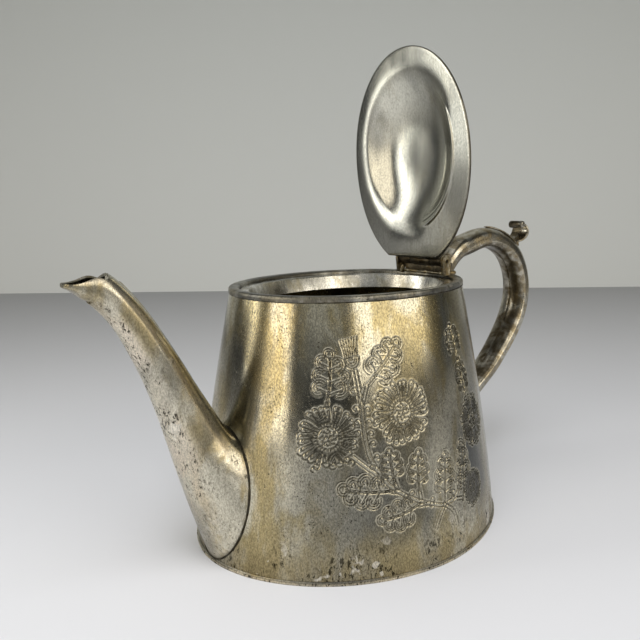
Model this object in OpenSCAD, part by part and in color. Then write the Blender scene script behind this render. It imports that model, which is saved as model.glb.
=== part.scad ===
// Oval hinged-lid teapot with a soldered spout, a hollow handle and a thumb rest.
// Origin: centre of the base on the table. +X points to the handle, -X to the spout.

/* [Body] */
// Height of the pot to the top of its rim
body_h = 115; // [112:0.5:118]
// Half length of the body at the foot
foot_x = 79; // [77:0.5:81]
// Half width of the body at the foot
foot_y = 66; // [64:0.5:68]
// Half length of the body at the mouth
mouth_x = 59; // [58:0.5:60]
// Half width of the body at the mouth
mouth_y = 45.8; // [45:0.2:47]
// How the wall bows outwards: 1 is straight
wall_bow = 1.2; // [1:0.05:1.4]
// Thickness of the sheet that the wall is made of
wall_t = 1.2; // [1:0.1:1.6]
// How far the base plate stands out round the foot
foot_lip = 0.8; // [0.4:0.1:1.2]

/* [Rim and lid seat] */
// Width of the rim mount
rim_w = 4.8; // [4:0.1:5.4]
// Height of the rim mount
rim_h = 2.5; // [2:0.1:3]
// Distance from the rim's outside to the seat's inner edge
seat_inset = 9.3; // [9:0.1:10]
// How far the seat lies below the rim
seat_drop = 1.8; // [1.6:0.1:2]
// Depth of the collar that hangs inside the mouth
collar_d = 7.2; // [5:0.1:8]

/* [Lid] */
// Half length of the lid
lid_x = 53.1; // [52:0.1:54]
// Half width of the lid
lid_y = 38.5; // [37.5:0.1:39.5]
// Height of the dome above the lid's flange
dome_h = 8.5; // [6:0.5:10]
// Where the dome's centre is along X, with the lid closed
dome_x = -3.5; // [-5:0.1:0]
// Half length of the dome
dome_a = 35; // [33:0.1:37]
// Half width of the dome
dome_b = 27.7; // [26:0.1:28.5]
// How far the lid stands open
open_deg = 86; // [60:1:88]

/* [Hinge] */
// Distance from the pot's centre to the hinge pin
hinge_x = 50.4; // [50:0.1:51]
// Height of the hinge pin above the rim
hinge_rise = 6.7; // [6.4:0.1:7]
// Outer radius of the knuckles
knuckle_r = 2.6; // [2.4:0.1:2.8]
// Radius of the hinge pin
pin_r = 1.1; // [1:0.05:1.3]
// Half length of the lid's own knuckle
knuckle_half = 6.7; // [6:0.1:7]
// Half length of the whole barrel
barrel_half = 15; // [14.5:0.1:15.5]

/* [Spout] */
// Half width of the spout where it meets the wall
root_w = 18.6; // [17:0.2:19.4]
// Half height of the spout where it meets the wall
root_h = 28.6; // [27:0.2:28.8]
// Thickness of the spout's sheet
spout_t = 1.2; // [1:0.1:1.4]
// Radius of each strainer hole behind the spout
strainer_r = 1.4; // [1:0.1:1.6]

/* [Handle] */
// Thickness of the handle's sheet
handle_t = 1.3; // [1:0.1:1.6]
// Width of the thumb rest's scroll
scroll_w = 9; // [7:0.5:10]
// Radius of the thumb rest's scroll
scroll_r = 4.4; // [4.2:0.1:4.8]

/* [Hidden] */
$fn = 48;
base_t = 1.2;         // thickness of the base plate
body_steps = 64;      // points round the body
wall_steps = 12;      // rings up the wall
arc_steps = 12;       // points round half a tube
gap = 0.3;            // room between parts that move past each other
running = 0.05;       // radial clearance of the pin in the lid's knuckle
rim_z = body_h - rim_h;
seat_z = body_h - seat_drop;
rim_x = mouth_x + 1;
rim_y = mouth_y + 0.6;
hinge_z = body_h + hinge_rise;
cheek_t = 1.4;
lid_t = 1.2;
lid_z = seat_z + gap;
dome_share = 0.72;    // the ring, counted from 0 to 1, where dome meets flange
collar_r = 5.5;       // radius of the finial's collar
knob_r = 6.6;         // radius of the finial's knob
finial_h = 13;        // height of collar and knob together
collar_h = 4;

// Spout centre line from the end of its root to the lip: x, z, half depth, half width, open arc
SPOUT = [[-84, 57, 11.8, 11.2, 0], [-91, 73, 9.6, 9, 0], [-98, 88.5, 8.1, 7.7, 0],
         [-107, 105.5, 6.9, 6.5, 0], [-114, 115.6, 6.5, 6, 0], [-120.7, 122.3, 6.4, 5.8, 0],
         [-125.4, 123.5, 4.9, 5.5, 60], [-130, 124.3, 2.4, 4.5, 78], [-132.9, 124.8, 1.3, 2.9, 84]];
HOOD = 5;             // the station where the top of the tube ends in a hood
// Middle of the flare between the wall and the first station: x, z, half length, half width, lean
FLARE = [-78.5, 40, 20.4, 16.5, 68];
// Handle centre line from the rim to the wall: x, z, half thickness, half width
HANDLE = [[79.3, 126.9, 5.7, 7.2], [102, 130.6, 5.5, 7.1], [122.3, 121.4, 5.5, 7.6],
          [132.1, 102.8, 5.8, 7.6], [128.2, 82, 5.8, 7.8], [109.2, 58.7, 5.3, 7.2],
          [90.7, 45.1, 5.2, 7.2]];
TOP_ROOT = [110.6, 9.2, 7.8];     // middle height, half height and half width of its ends
LOW_ROOT = [33.5, 7.4, 7.6];

// Curves shared by the parts

function signed_pow(v, p) = sign(v) * pow(abs(v), p);
function oval(a, b, n, deg) = [a * signed_pow(cos(deg), 2 / n), b * signed_pow(sin(deg), 2 / n)];
function oval_ring(a, b, n, z) =
    [for (i = [0:body_steps - 1]) let (p = oval(a, b, n, 360 * i / body_steps)) [p[0], p[1], z]];

function taper(z) = pow(max(z, 0) / body_h, wall_bow);
function half_x(z) = foot_x - (foot_x - mouth_x) * taper(z);
function half_y(z) = foot_y - (foot_y - mouth_y) * taper(z);
function squareness(z) = 1.9 + 0.15 * z / body_h;
function wall_ring(z, inset) = oval_ring(half_x(z) - inset, half_y(z) - inset, squareness(z), z);
function rim_ring(inset, z) = oval_ring(rim_x - inset, rim_y - inset, squareness(body_h), z);

// Where the outside of the pot is, along X, at a given width and height
function oval_x(a, b, n, y) = a * pow(max(0, 1 - pow(abs(y) / b, n)), 1 / n);
function wall_x(y, z) = oval_x(half_x(z), half_y(z), squareness(z), y);
function outside_x(y, z) =
    z < rim_z - 0.01 ? wall_x(y, z) : max(wall_x(y, z), oval_x(rim_x, rim_y, squareness(body_h), y));

// Catmull-Rom curve through the rows of a list
function row(list, i) = i < 0 ? 2 * list[0] - list[1] :
    i > len(list) - 1 ? 2 * list[len(list) - 1] - list[len(list) - 2] : list[i];
function curve(list, t) =
    let (i = min(floor(t), len(list) - 2), u = t - i,
         a = row(list, i - 1), b = row(list, i), c = row(list, i + 1), d = row(list, i + 2))
    0.5 * (2 * b + (c - a) * u + (2 * a - 5 * b + 4 * c - d) * u * u
           + (3 * b - a - 3 * c + d) * u * u * u);
function heading(list, t) =
    let (d = curve(list, min(t + 0.01, len(list) - 1)) - curve(list, max(t - 0.01, 0)))
    [d[0], d[1]] / norm([d[0], d[1]]);

// A point on a tube's section: phi is 0 on the side that side_sign turns outwards
function tube_point(list, t, phi, inset, side_sign) =
    let (s = curve(list, t), d = heading(list, t), e = side_sign * [d[1], -d[0]],
         p = oval(max(s[2] - inset, 0.25), max(s[3] - inset, 0.25), 2.4, phi))
    [s[0] + e[0] * p[0], -p[1], s[1] + e[1] * p[0]];

// Solids from rings

function flat(list) = [for (a = list) for (b = a) b];
function side_faces(rows, n, wrap) =
    [for (i = [0:rows - (wrap ? 1 : 2)]) for (j = [0:n - 1])
        let (k = (i + 1) % rows, m = (j + 1) % n) [i * n + j, k * n + j, k * n + m, i * n + m]];

// Rings joined in a loop, as round the wall of a hollow ring
module ring_loop(rings) {
    polyhedron(flat(rings), side_faces(len(rings), len(rings[0]), true));
}

// Rings from one end to the other, with both ends closed
module stack(rings) {
    n = len(rings[0]);
    last = (len(rings) - 1) * n;
    polyhedron(flat(rings), concat(side_faces(len(rings), n, false),
        [[for (j = [0:n - 1]) j]], [[for (j = [n - 1:-1:0]) last + j]]));
}

// A curved sheet: each ring runs along its outside and back along its inside
module sheet(rings) {
    n = len(rings[0]);
    last = (len(rings) - 1) * n;
    polyhedron(flat(rings), concat(side_faces(len(rings), n, false),
        [for (j = [0:n / 2 - 2]) [j, j + 1, n - 2 - j, n - 1 - j]],
        [for (j = [0:n / 2 - 2]) [last + n - 1 - j, last + n - 2 - j, last + j + 1, last + j]]));
}

// Body

module base_plate() {
    color("gray")
        stack([for (z = [0, base_t]) oval_ring(foot_x + foot_lip, foot_y + foot_lip, squareness(0), z)]);
}

module strainer_holes() {
    pitch = 6.4;
    for (i = [-2:2]) {
        side = i % 2 == 0 ? 1 : 1.5;
        for (col = [-side:side])
            translate([-foot_x - 5, pitch * col, 30 + pitch * i]) rotate([0, 90, 0]) cylinder(r = strainer_r, h = 20);
    }
}

module body_wall() {
    heights = [for (i = [0:wall_steps]) base_t + (rim_z - base_t) * i / wall_steps];
    color("silver") difference() {
        ring_loop(concat([for (z = heights) wall_ring(z, 0)],
                         [for (i = [wall_steps:-1:0]) wall_ring(heights[i], wall_t)]));
        strainer_holes();
    }
}

module rim_mount() {
    section = [[0, 0], [0, rim_h - 0.9], [0.3, rim_h - 0.3], [1.2, rim_h], [rim_w - 1.4, rim_h - 0.1],
               [rim_w - 0.3, rim_h - 0.5], [rim_w, rim_h - 1], [rim_w, 0]];
    color("dimgray") ring_loop([for (p = section) rim_ring(p[0], rim_z + p[1])]);
}

module lid_seat() {
    inner = seat_inset;
    section = [[rim_w, seat_z - 0.9], [rim_w, seat_z], [inner, seat_z], [inner, seat_z - collar_d],
               [inner - 0.9, seat_z - collar_d], [inner - 0.9, seat_z - 0.9]];
    color("gainsboro") ring_loop([for (p = section) rim_ring(p[0], p[1])]);
}

// Spout

function root_point(phi, inset) =
    let (z = base_t + root_h + 0.2 + (root_h - inset) * cos(phi), y = -(root_w - inset) * sin(phi))
    [-wall_x(y, z) - 0.06, y, z];
function flare_point(phi, inset) =
    let (along = (FLARE[2] - inset) * cos(phi))
    [FLARE[0] + cos(FLARE[4]) * along, -(FLARE[3] - inset) * sin(phi), FLARE[1] + sin(FLARE[4]) * along];
function spout_point(t, phi, inset) =
    t >= 0 ? tube_point(SPOUT, t, phi, inset, 1) :
    let (u = t + 1, a = root_point(phi, inset), b = flare_point(phi, inset), c = spout_point(0, phi, inset))
    (1 - u) * (1 - u) * a + 2 * u * (1 - u) * b + u * u * c;

// Beyond the hood the tube is open on top, from the angle that SPOUT gives
function open_from(t) = t <= HOOD ? 0 : t >= HOOD + 1 ? curve(SPOUT, t)[4] : 56 + 4 * (t - HOOD);

module spout_half() {
    steps = concat([for (i = [0:5]) -1 + i / 6], [for (i = [0:2 * HOOD]) i / 2],
                   [HOOD + 0.04, HOOD + 0.35, HOOD + 0.7], [HOOD + 1, HOOD + 1.5, HOOD + 2, HOOD + 3]);
    sheet([for (t = steps) let (from = open_from(t)) concat(
        [for (j = [arc_steps:-1:0]) spout_point(t, from + (180 - from) * j / arc_steps, 0)],
        [for (j = [0:arc_steps]) spout_point(t, from + (180 - from) * j / arc_steps, spout_t)])]);
}

module spout_near_half() {
    color("tan") spout_half();
}

module spout_far_half() {
    color("burlywood") mirror([0, 1, 0]) spout_half();
}

// Handle

function end_point(root, phi, inset, turn) =
    let (z = root[0] + turn * (root[1] - inset) * cos(phi), y = -(root[2] - inset) * sin(phi))
    [outside_x(y, z) + 0.02, y, z];
function mix(a, b, u) = (1 - u) * a + u * b;

module handle_half() {
    last = len(HANDLE) - 1;
    function section(at, inset, back) =
        [for (j = back ? [arc_steps:-1:0] : [0:arc_steps]) let (phi = 180 * j / arc_steps)
            at < 0 ? mix(end_point(TOP_ROOT, phi, inset, 1), tube_point(HANDLE, 0, phi, inset, -1), at + 1) :
            at > last ? mix(tube_point(HANDLE, last, phi, inset, -1), end_point(LOW_ROOT, phi, inset, -1), at - last) :
            tube_point(HANDLE, at, phi, inset, -1)];
    stations = concat([-1, -0.5], [for (i = [0:3 * last]) i / 3], [last + 0.5, last + 1]);
    sheet([for (s = stations) concat(section(s, 0, false), section(s, handle_t, true))]);
}

module handle_near_half() {
    color("darkgray") handle_half();
}

module handle_far_half() {
    color("slategray") mirror([0, 1, 0]) handle_half();
}

// A leaf that lies on top of the handle and ends in a rolled scroll for the thumb
module thumb_rest() {
    leaf_t = 1.3;
    function leaf_row(t, lift) =
        let (s = curve(HANDLE, t), d = heading(HANDLE, t), r = s[2] + 0.08 + lift)
        [s[0] - d[1] * r, s[1] + d[0] * r];
    span = [for (i = [0:6]) 0.95 + i * 1.18 / 6];
    widths = [for (i = [0:6]) 1.2 + 2.8 * sin(15 * i)];
    scroll = [130.4, 133];
    color("lightgray") {
        stack([for (i = [0:6]) let (a = leaf_row(span[i], 0), b = leaf_row(span[i], leaf_t))
            [[a[0], widths[i], a[1]], [b[0], widths[i], b[1]],
             [b[0], -widths[i], b[1]], [a[0], -widths[i], a[1]]]]);
        translate([scroll[0], scroll_w / 2, scroll[1]]) rotate([90, 0, 0])
            linear_extrude(scroll_w) union() {
                difference() {
                    circle(r = scroll_r);
                    circle(r = scroll_r - 1.6);
                    translate([-8, -2]) square([8, 11]);
                }
                translate([0.2, scroll_r - 0.2]) circle(r = 2.1);
                polygon([[-2.7, -8.4], [-1.5, -9], [2.4, -3.6], [-0.8, -3.4]]);
            }
    }
}

// Hinge

module along_y(x, z, y0, y1, r) {
    translate([x, y1, z]) rotate([90, 0, 0]) cylinder(r = r, h = y1 - y0);
}

module hinge_bearer() {
    front = hinge_x + 1;
    back = rim_x - 0.2;
    foot_half = barrel_half - 2;
    top = hinge_z - 1;
    color("dimgray") difference() {
        intersection() {
            translate([0, barrel_half + 2, 0]) rotate([90, 0, 0]) linear_extrude(2 * barrel_half + 4)
                polygon([[front, body_h + 0.02], [back - 2, body_h + 0.02], [back, body_h + 1], [back, body_h + 3],
                         [back - 4, top], [front, top]]);
            linear_extrude(hinge_z) polygon([for (p = rim_ring(0.6, 0)) [p[0], p[1]]]);
            rotate([90, 0, 90]) linear_extrude(100)
                polygon([[-foot_half, body_h], [foot_half, body_h], [foot_half + 0.6, body_h + 2],
                         [barrel_half - 0.1, top], [0.1 - barrel_half, top], [-foot_half - 0.6, body_h + 2]]);
        }
        along_y(hinge_x, hinge_z, -barrel_half - 3, barrel_half + 3, knuckle_r);
        along_y(hinge_x, hinge_z, -knuckle_half - gap, knuckle_half + gap, knuckle_r + 0.6);
    }
}

module fixed_knuckle(y0, y1) {
    color("gray") difference() {
        along_y(hinge_x, hinge_z, y0, y1, knuckle_r);
        along_y(hinge_x, hinge_z, y0 - 1, y1 + 1, pin_r);
    }
}

module hinge_knuckle_near() {
    fixed_knuckle(-barrel_half, -knuckle_half - gap);
}

module hinge_knuckle_far() {
    fixed_knuckle(knuckle_half + gap, barrel_half);
}

// Upright plate with a round head that closes one end of the barrel
module cheek(y0) {
    color("darkgray") difference() {
        union() {
            along_y(hinge_x, hinge_z, y0, y0 + cheek_t, knuckle_r + 0.2);
            translate([hinge_x - 1.9, y0, body_h + 0.02]) cube([3.8, cheek_t, hinge_rise]);
        }
        along_y(hinge_x, hinge_z, y0 - 1, y0 + cheek_t + 1, pin_r);
    }
}

module hinge_cheek_near() {
    cheek(-barrel_half - cheek_t);
}

module hinge_cheek_far() {
    cheek(barrel_half);
}

module hinge_pin() {
    reach = barrel_half + cheek_t;
    color("lightgray") along_y(hinge_x, hinge_z, -reach, reach, pin_r);
}

// Lid, drawn closed and then turned open about the hinge

module opened() {
    translate([hinge_x, 0, hinge_z]) rotate([0, open_deg, 0]) translate([-hinge_x, 0, -hinge_z]) children();
}

function dome(share) = dome_h * (1 - pow(min(share / dome_share, 1), 3.6));
function lid_ring(share, z) =
    let (in_dome = min(share / dome_share, 1), k = max(0, (share - dome_share) / (1 - dome_share)),
         n = squareness(body_h))
    [for (i = [0:body_steps - 1])
        let (a = 360 * i / body_steps, d = oval(dome_a * in_dome, dome_b * in_dome, n, a), e = oval(lid_x, lid_y, n, a))
        [(1 - k) * (dome_x + d[0]) + k * min(e[0], hinge_x - 2.25), (1 - k) * d[1] + k * e[1], z]];

module lid_plate() {
    shares = [0.06, 0.2, 0.34, 0.48, 0.58, 0.66, 0.71, 0.76, 0.9, 0.99];
    last = len(shares) - 1;
    color("gainsboro") opened()
        stack(concat([for (s = shares) lid_ring(s, lid_z + dome(s))],
                     [lid_ring(1, lid_z + 0.3)], [lid_ring(1, lid_z + lid_t - 0.3)],
                     [for (i = [last:-1:0]) lid_ring(shares[i], lid_z + lid_t + dome(shares[i]))]));
}

module lid_leaf() {
    foot_z = lid_z + lid_t + 0.01;
    edge = hinge_x - 2.3;
    color("gray") opened() difference() {
        translate([0, knuckle_half - 0.2, 0]) rotate([90, 0, 0]) linear_extrude(2 * knuckle_half - 0.4)
            polygon([[edge - 7, foot_z], [edge, foot_z], [edge + 0.3, foot_z + 1], [hinge_x - 0.6, hinge_z - 2.2],
                     [hinge_x - 1.9, hinge_z], [hinge_x - 3.6, hinge_z - 2.6], [edge - 3, foot_z + 1.2],
                     [edge - 6.6, foot_z + 0.8]]);
        along_y(hinge_x, hinge_z, -knuckle_half - 1, knuckle_half + 1, knuckle_r + 0.01);
    }
}

module lid_knuckle() {
    color("silver") opened() difference() {
        along_y(hinge_x, hinge_z, -knuckle_half, knuckle_half, knuckle_r);
        along_y(hinge_x, hinge_z, -knuckle_half - 1, knuckle_half + 1, pin_r + running);
    }
}

module finial_collar() {
    z = lid_z + lid_t + dome_h + 0.02;
    color("gray") opened() translate([dome_x, 0, z]) rotate_extrude()
        polygon([[0, 0], [collar_r, 0], [collar_r, 0.8], [collar_r - 1.4, 1.5], [2.4, 2.6], [2.4, collar_h], [0, collar_h]]);
}

module finial_knob() {
    z = lid_z + lid_t + dome_h + collar_h + 0.04;
    knob_h = finial_h - collar_h;
    color("silver") opened() translate([dome_x, 0, z]) rotate_extrude()
        polygon(concat([[0, 0], [2.4, 0]],
            [for (i = [0:8]) let (a = -60 + 15 * i) [2.2 + (knob_r - 2.2) * cos(a), knob_h / 2 + (knob_h / 2 - 0.6) * sin(a)]],
            [[1, knob_h], [0, knob_h]]));
}

base_plate();
body_wall();
rim_mount();
lid_seat();
spout_near_half();
spout_far_half();
handle_near_half();
handle_far_half();
thumb_rest();
hinge_bearer();
hinge_knuckle_near();
hinge_knuckle_far();
hinge_cheek_near();
hinge_cheek_far();
hinge_pin();
lid_plate();
lid_leaf();
lid_knuckle();
finial_collar();
finial_knob();
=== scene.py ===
import math
import bmesh
import bpy
import numpy as np
from mathutils import Matrix, Vector


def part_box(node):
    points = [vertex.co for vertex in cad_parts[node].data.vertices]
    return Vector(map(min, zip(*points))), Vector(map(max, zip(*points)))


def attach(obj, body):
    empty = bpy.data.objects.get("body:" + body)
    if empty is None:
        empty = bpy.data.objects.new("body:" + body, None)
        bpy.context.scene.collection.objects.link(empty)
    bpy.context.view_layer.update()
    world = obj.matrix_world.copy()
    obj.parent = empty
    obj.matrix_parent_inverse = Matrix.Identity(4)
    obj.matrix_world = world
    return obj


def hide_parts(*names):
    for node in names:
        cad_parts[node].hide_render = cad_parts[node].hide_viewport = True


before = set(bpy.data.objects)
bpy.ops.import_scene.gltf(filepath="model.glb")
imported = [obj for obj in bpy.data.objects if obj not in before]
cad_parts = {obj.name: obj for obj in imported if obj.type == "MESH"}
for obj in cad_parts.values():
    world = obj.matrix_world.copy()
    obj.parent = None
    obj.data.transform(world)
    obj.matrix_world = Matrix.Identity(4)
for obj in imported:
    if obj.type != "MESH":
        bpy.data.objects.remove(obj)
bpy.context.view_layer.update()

mm = 0.001


def frameBox(node):
    return [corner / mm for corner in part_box(node)]  # millimetres


# Curves and small helpers, all in millimetres

def signedPower(value, power):
    return np.sign(value) * np.abs(value) ** power


def oval(halfLength, halfWidth, power, degrees):
    angle = np.radians(degrees)
    return halfLength * signedPower(np.cos(angle), 2 / power), halfWidth * signedPower(np.sin(angle), 2 / power)


def smoothCurve(rows, t):
    # Catmull-Rom through the rows, t counts rows
    rows = np.asarray(rows, float)
    t = np.atleast_1d(np.asarray(t, float))
    padded = np.vstack([2 * rows[0] - rows[1], rows, 2 * rows[-1] - rows[-2]])
    i = np.clip(np.floor(t).astype(int), 0, len(rows) - 2)
    u = (t - i)[:, None]
    a, b, c, d = padded[i], padded[i + 1], padded[i + 2], padded[i + 3]
    return 0.5 * (2 * b + (c - a) * u + (2 * a - 5 * b + 4 * c - d) * u ** 2 + (3 * b - a - 3 * c + d) * u ** 3)


def heading(rows, t):
    last = len(rows) - 1
    step = smoothCurve(rows, np.minimum(t + 0.01, last)) - smoothCurve(rows, np.maximum(t - 0.01, 0))
    step = step[:, :2]
    return step / np.linalg.norm(step, axis=1, keepdims=True)


def bell(value, centre, width):
    return np.exp(-((value - centre) / width) ** 2)


def sheetFaces(rows, columns, loopRows=False, loopColumns=True):
    faces = []
    for i in range(rows if loopRows else rows - 1):
        k = (i + 1) % rows
        for j in range(columns if loopColumns else columns - 1):
            m = (j + 1) % columns
            faces.append((i * columns + j, i * columns + m, k * columns + m, k * columns + j))
    return faces


def cappedFaces(rows, columns):
    # rings joined into a sheet, with both ends closed
    last = (rows - 1) * columns
    return sheetFaces(rows, columns) + [tuple(range(columns - 1, -1, -1)),
        tuple(last + j for j in range(columns))]


def lathe(profile, centre, count, axis="y"):
    # profile rows are a place along the axis and a radius
    angle = np.radians(np.linspace(0, 360, count, endpoint=False))
    rings = []
    for level, radius in profile:
        a, b, c = centre[0] + radius * np.cos(angle), centre[1] + radius * np.sin(angle), np.full(count, level)
        rings.append(np.stack([a, c, b] if axis == "y" else [a, b, c], -1))
    return np.array(rings)


def addObject(name, data):
    item = bpy.data.objects.new(name, data)
    bpy.context.scene.collection.objects.link(item)
    return item


def makePiece(name, points, faces, finish, marks=None, sharpAngle=40):
    mesh = bpy.data.meshes.new(name)
    mesh.from_pydata((np.asarray(points, float).reshape(-1, 3) * mm).tolist(), [], faces)
    for label, values in (marks or {}).items():
        mark = mesh.attributes.new(label, "FLOAT", "POINT")
        mark.data.foreach_set("value", np.asarray(values, np.float32).ravel())
    work = bmesh.new()
    work.from_mesh(mesh)
    bmesh.ops.remove_doubles(work, verts=work.verts, dist=1e-7)
    if work.calc_volume(signed=True) < 0:
        bmesh.ops.reverse_faces(work, faces=work.faces)
    work.to_mesh(mesh)
    work.free()
    mesh.shade_smooth()
    mesh.set_sharp_from_angle(angle=math.radians(sharpAngle))
    mesh.materials.append(finish)
    return addObject(name, mesh)


def makeWire(name, points, edges):
    mesh = bpy.data.meshes.new(name)
    mesh.from_pydata((np.asarray(points) * mm).tolist(), edges, [])
    return addObject(name, mesh)


def standFor(piece, node, rider="pot"):
    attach(piece, rider)
    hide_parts(node)


def applyModifiers(piece):
    solid = bpy.data.meshes.new_from_object(piece.evaluated_get(bpy.context.evaluated_depsgraph_get()))
    solid.name = piece.name
    piece.modifiers.clear()
    piece.data = solid
    return piece


def softenEdges(piece, width, segments=3, angle=30):
    # catches a thin line of light along each edge
    bevel = piece.modifiers.new("soften", "BEVEL")
    bevel.width = width * mm
    bevel.segments = segments
    bevel.limit_method = "ANGLE"
    bevel.angle_limit = math.radians(angle)
    applyModifiers(piece)
    piece.data.shade_smooth()
    piece.data.set_sharp_from_angle(angle=math.radians(50))
    return piece


def addNode(tree, kind, inputs=None, **settings):
    node = tree.nodes.new(kind)
    for key, value in settings.items():
        setattr(node, key, value)
    for key, value in (inputs or {}).items():
        if isinstance(value, bpy.types.NodeSocket):
            tree.links.new(value, node.inputs[key])
        else:
            node.inputs[key].default_value = value
    return node


def calculate(tree, operation, *values, clamp=False):
    return addNode(tree, "ShaderNodeMath", dict(enumerate(values)), operation=operation,
        use_clamp=clamp).outputs[0]


def remap(tree, value, low, high, outLow=0.0, outHigh=1.0, smooth=True):
    limits = {"Value": value, "From Min": low, "From Max": high, "To Min": outLow, "To Max": outHigh}
    kind = "SMOOTHSTEP" if smooth else "LINEAR"
    return addNode(tree, "ShaderNodeMapRange", limits, interpolation_type=kind).outputs[0]


# Finishes

def linear(code):
    channels = [int(code[i:i + 2], 16) / 255 for i in (1, 3, 5)]
    return [c / 12.92 if c <= 0.04045 else ((c + 0.055) / 1.055) ** 2.4 for c in channels] + [1.0]


def newFinish(name):
    finish = bpy.data.materials.new(name)
    finish.use_nodes = True
    tree = finish.node_tree
    place = addNode(tree, "ShaderNodeTexCoord").outputs["Object"]
    return finish, tree, tree.nodes["Principled BSDF"], place


# some tones are painted light: the burr tone is a painted highlight, and the wear and grime tones also carry
# painted sheen and painted shade
plainLook = {"clean": "#d3cdb8", "warm": "#b09d64", "grey": "#6d6c64", "streak": "#8f8b78", "worn": "#cbc1aa",
    "grime": "#3c3322", "dark": "#50514e", "ground": "#7a745f", "rubbed": "#e4ddc6", "pit": "#1d1a15",
    "cut": "#28231a", "fleck": "#e6e0d2", "cloudMm": 16, "cloudStretch": (1, 1, 2.4), "streakMm": 1.6,
    "streakStretch": (1, 1, 14), "pitMm": 0.9, "pitShare": 0.06, "warmShare": 0.5, "warmMost": 0.75,
    "greyShare": 0.4, "greyMost": 0.6, "streakMost": 0.45, "roughLow": 0.14, "roughHigh": 0.30, "grain": 0.45,
    "grainMm": 0.55, "bump": 0.35, "dents": 0.06}


def silverFinish(name, **changes):
    # silver plate over soft metal, burnished by hand: sharp glints broken by streaks, tarnish and dark pits
    look = {**plainLook, **changes}
    finish, tree, shader, place = newFinish(name)
    shader.inputs["Metallic"].default_value = 1.0

    def pattern(sizeMm, stretch=(1, 1, 1), detail=4.0, distortion=0.0):
        # stretch above 1 makes the pattern that many times as long along each axis
        mapping = addNode(tree, "ShaderNodeMapping", {"Vector": place, "Scale": [1 / s for s in stretch],
            "Location": [0.013 * sizeMm] * 3})
        return addNode(tree, "ShaderNodeTexNoise", {"Vector": mapping.outputs[0], "Scale": 1 / (sizeMm * mm),
            "Detail": detail, "Roughness": 0.6, "Distortion": distortion}).outputs["Fac"]

    def between(*limits, smooth=True):
        return remap(tree, *limits, smooth=smooth)

    def times(a, b):
        return calculate(tree, "MULTIPLY", a, b)

    def blend(amount, a, b, mode="MIX"):
        return addNode(tree, "ShaderNodeMix", {"Factor": amount, 6: a, 7: b}, data_type="RGBA",
            blend_type=mode).outputs[2]

    cloud = pattern(look["cloudMm"], look["cloudStretch"], 5, 0.4)
    broad = pattern(look["cloudMm"] * 2.3, look["cloudStretch"], 3)
    streak = pattern(look["streakMm"], look["streakStretch"], 6)
    hair = pattern(look["streakMm"] * 0.35, look["streakStretch"], 3)
    grain = pattern(look["grainMm"], (1, 1, 1.8), 6)
    spots = pattern(look["pitMm"], detail=2)
    spotRegion = pattern(look["cloudMm"] * 0.8, detail=3)
    scars = pattern(look["pitMm"] * 1.7, (1, 1, 2.2), 4, 0.6)
    worn, grime, cut, ground, rubbed, dark = ( addNode(tree, "ShaderNodeAttribute", attribute_name=label,
        attribute_type="GEOMETRY").outputs["Fac"] for label in ("worn", "grime", "cut", "ground", "rubbed",
        "dark"))

    warmFrom, greyFrom = 0.62 - look["warmShare"] * 0.4, 0.60 - look["greyShare"] * 0.4
    pitFrom = 0.72 - look["pitShare"]
    warm = times(between(cloud, warmFrom, warmFrom + 0.18), look["warmMost"])
    grey = times(between(broad, greyFrom, greyFrom + 0.16), look["greyMost"])
    streaky = times(between(streak, 0.45, 0.75), look["streakMost"])
    pits = times(between(spots, pitFrom, pitFrom + 0.06), between(spotRegion, 0.42, 0.62))
    wornPits = times(between(scars, 0.54, 0.60), times(times(worn, 1.5), between(spotRegion, 0.42, 0.54)))
    pits = calculate(tree, "MAXIMUM", pits, wornPits, clamp=True)
    scraped = calculate(tree, "MAXIMUM", between(scars, 0.34, 0.28), between(spotRegion, 0.63, 0.66))

    # each layer covers the ones before it; the wear layer also paints a sheen, the grime layer also paints
    # shade, and the burr layer paints a highlight
    layers = ((grey, "grey"), (streaky, "streak"), (times(worn, between(cloud, 0.35, 0.6, 0.2, 1.0)), "worn"),
        (times(dark, between(broad, 0.3, 0.6, 0.55, 0.95)), "dark"),
        (times(ground, between(streak, 0.3, 0.7, 0.1, 0.4)), "ground"), (times(rubbed, 0.8), "rubbed"),
        (times(grime, between(cloud, 0.3, 0.65, 0.45, 0.95)), "grime"), (times(pits, 0.85), "pit"),
        (times(cut, 0.6), "cut"), (times(scraped, times(worn, 0.95)), "fleck"))
    colour = blend(warm, linear(look["clean"]), linear(look["warm"]))
    for amount, tone in layers:
        colour = blend(amount, colour, linear(look[tone]))
    colour = blend(look["grain"], colour, between(grain, 0.36, 0.64, 0.35, 1.25), "MULTIPLY")
    tree.links.new(colour, shader.inputs["Base Color"])

    rough = between(cloud, 0.3, 0.7, look["roughLow"], look["roughHigh"], smooth=False)
    rough = calculate(tree, "ADD", rough, between(grain, 0.3, 0.7, 0.05, -0.05, smooth=False))
    for cover, change in ((streaky, 0.12), (worn, 0.16), (ground, 0.1), (grime, 0.12), (rubbed, -0.08),
            (pits, 0.25)):
        rough = calculate(tree, "ADD", rough, times(cover, change), clamp=cover is pits)
    tree.links.new(rough, shader.inputs["Roughness"])

    height = calculate(tree, "SUBTRACT", times(hair, 0.35), pits)
    for relief, share in ((streak, 0.45), (grain, 0.5)):
        height = calculate(tree, "ADD", height, times(relief, share))
    bump = addNode(tree, "ShaderNodeBump", {"Height": height, "Strength": look["bump"], "Distance": 0.08 * mm})
    dents = addNode(tree, "ShaderNodeBump", {"Height": broad, "Strength": look["dents"], "Distance": 1.5 * mm,
        "Normal": bump.outputs[0]})
    tree.links.new(dents.outputs[0], shader.inputs["Normal"])
    return finish


# bright streaked grey with yellow tarnish and sharp window glints
wallFinish = silverFinish("handBurnishedTarnishedSilver", worn="#b9ab83", grime="#4a3e25", streakMm=0.8,
    pitMm=0.75, pitShare=0.11, grain=0.55, roughLow=0.10, roughHigh=0.23)
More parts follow.
